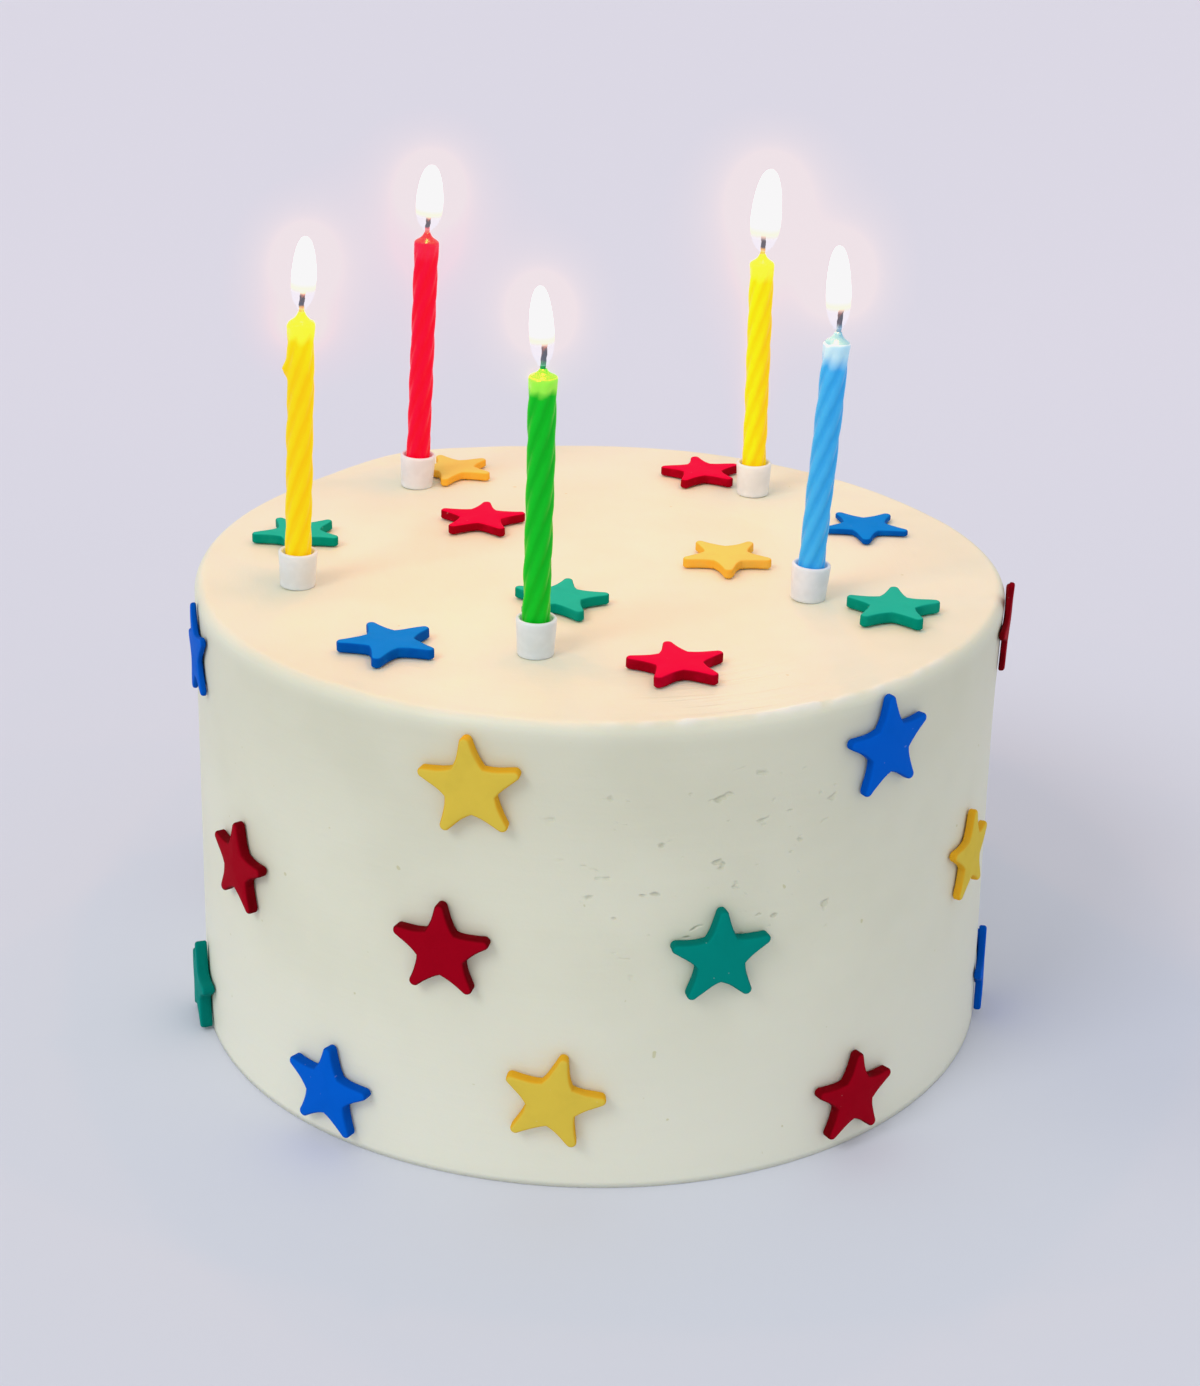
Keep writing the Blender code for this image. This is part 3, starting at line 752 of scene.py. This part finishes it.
def waxFinish(colour):
    deep, crest, melted = candle[colour]
    look = Finish("wax" + colour.capitalize(), IOR=1.44, Specular_IOR_Level=0.12, Coat_Weight=0.06,
                  Coat_Roughness=0.22, Subsurface_Weight=0.35, Subsurface_Radius=(1.0, 1.0, 1.0),
                  Subsurface_Scale=1.0 * mm, Sheen_Weight=0.5, Sheen_Roughness=0.35,
                  Sheen_Tint=(*candle["rim"][colour], 1.0), Emission_Strength=0.24)
    place = look.place()
    lobe = look.attribute("lobe")
    melt = look.attribute("melt")
    up = look.attribute("up")
    cloud = look.noise(place, scale=420.0, detail=3.0, rough=0.55)
    grain = look.noise(place, scale=1400.0, detail=2.0, rough=0.5)
    # painted shade: the grooves get a darker colour than the ridges, with some random tone
    body = look.mix(look.fade(lobe + (cloud - 0.5) * 0.8, 0.25, 1.0), deep, crest)
    # painted shade: a copy of the melted colour for the cone, changed to offset the flame's light
    lit = tuple(channel * dim for channel, dim in zip(melted, candle["crown"][colour]))
    melted = look.mix(look.attribute("crown"), melted, lit)
    body = look.mix(melt, body, melted)
    look.feed("Base Color", body)
    # light from the flame and the room that comes through the wax
    glow = look.mix(look.fade(up, 0.70, 0.99), tuple(channel * 0.75 for channel in crest), crest)
    look.feed("Emission Color", look.mix(melt, glow, melted))
    look.feed("Roughness", 0.36 - melt * 0.2 + cloud * 0.1)
    look.bump(cloud * 0.6 + grain * 0.2, distance=0.12 * mm, strength=0.5)
    return look


def turnedRings(profile, around):
    rings = []
    for radius, height in profile:
        angles = (math.tau * step / around for step in range(around))
        rings.append([heading(angle) * radius + Vector((0, 0, height)) for angle in angles])
    return rings


def makeHolder(name, stage, finish):
    tall, rim, foot, bore = holder["height"], holder["rimRadius"], holder["footRadius"], holder["bore"]
    lip, wallFoot, floor, boreEdge = (rim - bore) / 2, holder["wallFoot"], holder["floor"], holder["boreEdge"]
    sunk = holder["gap"] - holder["clear"]
    profile = [(foot - inset, height - sunk) for inset, height in holder["footEdge"]] + [(foot, wallFoot)]
    for step in range(1, holder["wallSteps"] + 1):
        share = step / holder["wallSteps"]
        profile.append((foot + (rim - foot) * share, wallFoot + (tall - lip - wallFoot) * share))
    for step in range(1, holder["lipSteps"]):
        turn = math.pi * step / holder["lipSteps"]
        profile.append((bore + lip + lip * math.cos(turn), tall - lip + lip * math.sin(turn)))
    profile += [(bore, tall - lip), (bore, tall / 2), (bore, floor + boreEdge), (bore - boreEdge, floor)]
    points, faces = sweepRings(turnedRings(profile, holder["around"]), holder["around"])
    piece = addMesh("candleHolder." + name, [stage @ point for point in points], faces, finish)
    stand(piece, "holder_" + name)


def holderFinish():
    look = Finish("milkyPlastic", IOR=1.46, Subsurface_Weight=0.6, Subsurface_Radius=(1.0, 1.0, 1.0),
                  Subsurface_Scale=1.5 * mm)
    place = look.place()
    cloud = look.noise(place, scale=300.0, detail=2.0, rough=0.5)
    grain = look.noise(place, scale=1100.0, detail=2.0, rough=0.5)
    paler = tuple(min(1.0, channel * 1.08) for channel in holder["colour"])
    look.feed("Base Color", look.mix(look.fade(cloud, 0.35, 0.7), holder["colour"], paler))
    look.feed("Roughness", 0.30 + cloud * 0.12)
    look.bump(grain, distance=0.05 * mm, strength=0.5)
    return look


def makeWick(name, waxTip, length, stage, finish, seed):
    around, rings, along = wick["around"], [], []
    bare, taperFrom = waxTip + wick["bareFrom"], wick["taperFrom"]
    start, end = waxTip - wick["sunk"], bare + length
    swayRight, swayBack = wick["sway"]
    for ring in range(wick["rings"] + 1):
        share = ring / wick["rings"]
        height = start + (end - start) * share
        above = max(0.0, (height - bare) / length)
        taper = max(0.0, (share - taperFrom) / (1 - taperFrom))
        radius = wick["radius"] * (1 - wick["taper"] * taper ** 2)
        right = wick["bend"] * above ** 2 + swayRight * math.sin(share * 9 + seed)
        middle = Vector((right, swayBack * math.cos(share * 11 + seed), height))
        points = []
        for step in range(around):
            angle = math.tau * step / around
            strand = wick["strandHeight"] * math.cos(wick["strands"] * angle - share * wick["twist"])
            fray = wick["fray"] * noise.noise(heading(angle) * 2 + Vector((0, 0, share * 16 + seed)))
            points.append(middle + heading(angle) * radius * (1 + strand + fray))
        rings.append(points)
        along += [above] * around
    points, faces = sweepRings(rings, around)
    along += [0.0, 1.0]
    piece = addMesh("wickCord." + name, [stage @ point for point in points], faces, finish, {"above": along})
    stand(piece, "wick_" + name)


def wickFinish(colour):
    look = Finish("wick" + colour.capitalize(), Roughness=0.85, Emission_Strength=0.85)
    place = look.place()
    above = look.attribute("above")
    soaked = wick["soaked"][colour]
    stops = (
        (0.00, soaked), (0.08, soaked), (0.26, (0.022, 0.016, 0.032)), (0.56, (0.026, 0.015, 0.028)),
        (0.72, (0.22, 0.09, 0.08)), (0.86, (0.95, 0.62, 0.40)),
    )
    fibre = look.noise(look.scaled(place, (1.0, 1.0, 0.35)), scale=2600.0, detail=2.0, rough=0.6)
    look.feed("Base Color", look.ramp(above + (fibre - 0.5) * 0.10, stops))
    ember = look.fade(above, 0.64, 0.92)
    look.feed("Emission Color", look.mix(ember, (0.0, 0.0, 0.0), (1.0, 0.72, 0.50)))
    look.bump(fibre, distance=0.10 * mm, strength=0.8)
    return look


def flameRings(length, radius, seed):
    # teardrop from its mouth round the wick up to its tip, with heights above the wax's tip
    tall, belly, mouth = length - flame["rise"], flame["belly"], flame["mouth"]
    profile = []
    for ring in range(flame["rings"]):
        share = (1 - (ring + 0.5) / flame["rings"]) ** flame["ringSpacing"]  # 0 at the tip, 1 at the mouth
        if share < belly:
            out = radius * (1 - (1 - share / belly) ** 2) ** flame["fullness"]
        else:
            out = max(mouth, radius * math.cos(math.asin((share - belly) / (1 - belly))))
        profile.append((out, length - tall * share))
    rings = turnedRings(profile, flame["around"])
    swayRight, swayBack = flame["sway"]
    for ring in rings:
        rise = ring[0].z / length
        right, back = swayRight * math.sin(seed + rise * 3), swayBack * math.cos(seed * 2 + rise * 2)
        for point in ring:
            point += Vector((right, back, 0)) * rise
    return rings


def makeFlame(name, place, stage, finish, seed):
    # it stands on the wax's tip and leans its own way
    turn = Matrix.Rotation(math.radians(place["flameLean"] - place["lean"]), 4, "Y")
    stage = stage @ Matrix.Translation((0, 0, place["tip"] * mm)) @ turn
    length, clear = place["flame"] * mm, place["clear"] * mm
    points, faces = sweepRings(flameRings(length, place["flameRadius"] * mm, seed), flame["around"])
    white = [(point.z - clear) / (length - clear) for point in points]
    piece = addMesh("flameGlow." + name, [stage @ point for point in points], faces, finish, {"white": white})
    piece.visible_shadow = False
    stand(piece, "flame_" + name)
    light = bpy.data.lights.new("flameLight." + name, "POINT")
    light.energy = flame["power"]
    light.color = flame["light"]
    light.shadow_soft_size = flame["lightRadius"]
    lamp = bpy.data.objects.new(light.name, light)
    lamp.location = stage @ Vector((0, 0, length * flame["lightAt"]))
    bpy.context.scene.collection.objects.link(lamp)


def flameFinish():
    # clear and bluish round the wick, cream above its tip, then white
    look = Finish("candleFlame", Roughness=1.0, Base_Color=(0.0, 0.0, 0.0, 1.0), Specular_IOR_Level=0.0,
                  Emission_Strength=flame["glow"])
    white = look.attribute("white")
    cloud = look.noise(look.place(), scale=260.0, detail=1.0, rough=0.5)
    height = white + (cloud - 0.5) * 0.04
    stops = (
        (0.00, (0.40, 0.50, 0.70)), (0.15, (0.40, 0.48, 0.62)), (0.19, (0.40, 0.345, 0.33)),
        (0.24, (0.40, 0.37, 0.31)), (0.30, (0.42, 0.42, 0.38)), (0.42, (1.0, 0.99, 0.97)),
    )
    look.feed("Emission Color", look.ramp(height * 0.8 + 0.2, stops))
    look.feed("Alpha", 0.08 + look.fade(height, -0.07, 0.05) * 0.92)
    look.material.cycles.emission_sampling = "NONE"
    return look


print("candles")
waxes = {colour: waxFinish(colour) for colour in ("yellow", "red", "green", "blue")}
wicks = {colour: wickFinish(colour) for colour in waxes}
milky, glowing = holderFinish(), flameFinish()
for seed, (name, place) in enumerate(candleSets.items(), start=1):
    foot = Vector((place["at"][0] * mm, place["at"][1] * mm, icing["height"] + holder["gap"]))
    stage = Matrix.Translation(foot) @ Matrix.Rotation(math.radians(place["lean"]), 4, "Y")
    makeHolder(name, stage, milky)
    makeCandle(name, place, stage, waxes[place["wax"]], seed)
    makeWick(name, place["tip"] * mm, place["wick"] * mm, stage, wicks[place["wax"]], seed)
    makeFlame(name, place, stage, glowing, seed)


# floor, light and camera

studio = {
    # painted light: the floor's colour lighter further back
    "nearFloor": (0.72, 0.755, 0.835),
    "farFloor": (0.84, 0.81, 0.89),
    # painted shadow on the floor to the right of the cake
    "paintedShadow": (0.90, 0.91, 0.94),
    "paintedShadowPlace": (0.125, -0.025, 0.0),
    "floorSize": 40.0,
    "floorDrop": 0.1 * mm,
    "worldColour": (0.80, 0.80, 0.84),
    "worldStrength": 0.86,
    "keyStrength": 0.76,
    "keySpread": math.radians(24),
    "keyPlace": (-1.45, -1.45, 1.92),
    "keyAim": (0.0, 0.0, 0.0),
}

camera = {
    "place": (0.0, -0.4712, 0.2686),
    "aim": (0.0014, 0.0, 0.0660),
    "roll": math.radians(1.03),
    "lens": 63.66,
    "sensor": 36.0,
    "nearest": 0.01,
}

# the flames' halo: what glows, how warm and strong it is, where it starts and how far it lifts the picture;
# white is the brightest that the picture gets
halo = {
    "glare": {"Threshold": 1.2, "Smoothness": 0.2, "Strength": 1.0, "Size": 0.3},
    "gain": (11.0, 5.7, 1.7, 1.0),
    "start": (0.060, 0.031, 0.009, 1.0),
    "most": (0.210, 0.110, 0.028, 1.0),
    "white": (0.93, 0.925, 0.93, 1.0),
    "none": (0.0, 0.0, 0.0, 1.0),
}


def facing(place, aim, roll=0.0):
    forward = (Vector(aim) - Vector(place)).normalized()
    turn = forward.to_track_quat("-Z", "Y").to_matrix() @ Matrix.Rotation(roll, 3, "Z")
    return Matrix.Translation(place) @ turn.to_4x4()


def makeFloor():
    look = Finish("paleFloor", Roughness=0.6, Specular_IOR_Level=0.2)
    place = look.place()
    cloud = look.noise(place, scale=3.0, detail=2.0, rough=0.5)
    deep = look.split(place)[1]
    # painted light: the floor lighter further back
    ground = look.mix(look.fade(deep + cloud * 0.1, -0.15, 0.65), studio["nearFloor"], studio["farFloor"])
    # painted shadow: the floor darker round a spot right of the cake
    fromShadow = look.away(place, studio["paintedShadowPlace"])
    ground = look.mix(1 - look.fade(fromShadow, 0.01, 0.075), ground, studio["paintedShadow"], "MULTIPLY")
    look.feed("Base Color", ground)
    half, drop = studio["floorSize"] / 2, studio["floorDrop"]
    corners = [(-half, -half, -drop), (half, -half, -drop), (half, half, -drop), (-half, half, -drop)]
    floor = addMesh("paleFloor", corners, [(0, 1, 2, 3)], look)


def makeLights():
    world = bpy.data.worlds.new("softRoom")
    bpy.context.scene.world = world
    world.use_nodes = True
    sky = world.node_tree.nodes["Background"]
    sky.inputs["Color"].default_value = (*studio["worldColour"], 1.0)
    sky.inputs["Strength"].default_value = studio["worldStrength"]
    light = bpy.data.lights.new("softKey", "SUN")
    light.angle = studio["keySpread"]
    light.energy = studio["keyStrength"]
    lamp = bpy.data.objects.new("softKey", light)
    lamp.matrix_world = facing(studio["keyPlace"], studio["keyAim"])
    bpy.context.scene.collection.objects.link(lamp)


def makeCamera():
    lens = bpy.data.cameras.new("photoView")
    lens.lens = camera["lens"]
    lens.sensor_width = camera["sensor"]
    lens.clip_start = camera["nearest"]
    view = bpy.data.objects.new("photoView", lens)
    view.matrix_world = facing(camera["place"], camera["aim"], camera["roll"])
    bpy.context.scene.collection.objects.link(view)
    bpy.context.scene.camera = view


def makeHalo():
    scene = bpy.context.scene
    scene.use_nodes = True
    tree = scene.node_tree
    layers, shown = tree.nodes["Render Layers"], tree.nodes["Composite"]
    glare = tree.nodes.new("CompositorNodeGlare")
    glare.glare_type = "BLOOM"
    glare.quality = "HIGH"
    for name, value in halo["glare"].items():
        glare.inputs[name].default_value = value
    tree.links.new(layers.outputs["Image"], glare.inputs["Image"])

    def blend(kind, first, second):
        made = tree.nodes.new("CompositorNodeMixRGB")
        made.blend_type = kind
        for slot, value in ((1, first), (2, second)):
            if isinstance(value, tuple):
                made.inputs[slot].default_value = value
            else:
                tree.links.new(value, made.inputs[slot])
        return made.outputs["Image"]

    warm = blend("MULTIPLY", glare.outputs["Glare"], halo["gain"])
    warm = blend("LIGHTEN", blend("SUBTRACT", warm, halo["start"]), halo["none"])
    warm = blend("DARKEN", warm, halo["most"])
    picture = layers.outputs["Image"]
    lit = blend("ADD", picture, blend("MULTIPLY", warm, picture))
    tree.links.new(blend("DARKEN", lit, halo["white"]), shown.inputs["Image"])


print("floor, light and camera")
makeFloor()
makeLights()
makeCamera()
makeHalo()
bpy.context.scene.view_settings.view_transform = "Standard"
bpy.context.scene.view_settings.look = "None"
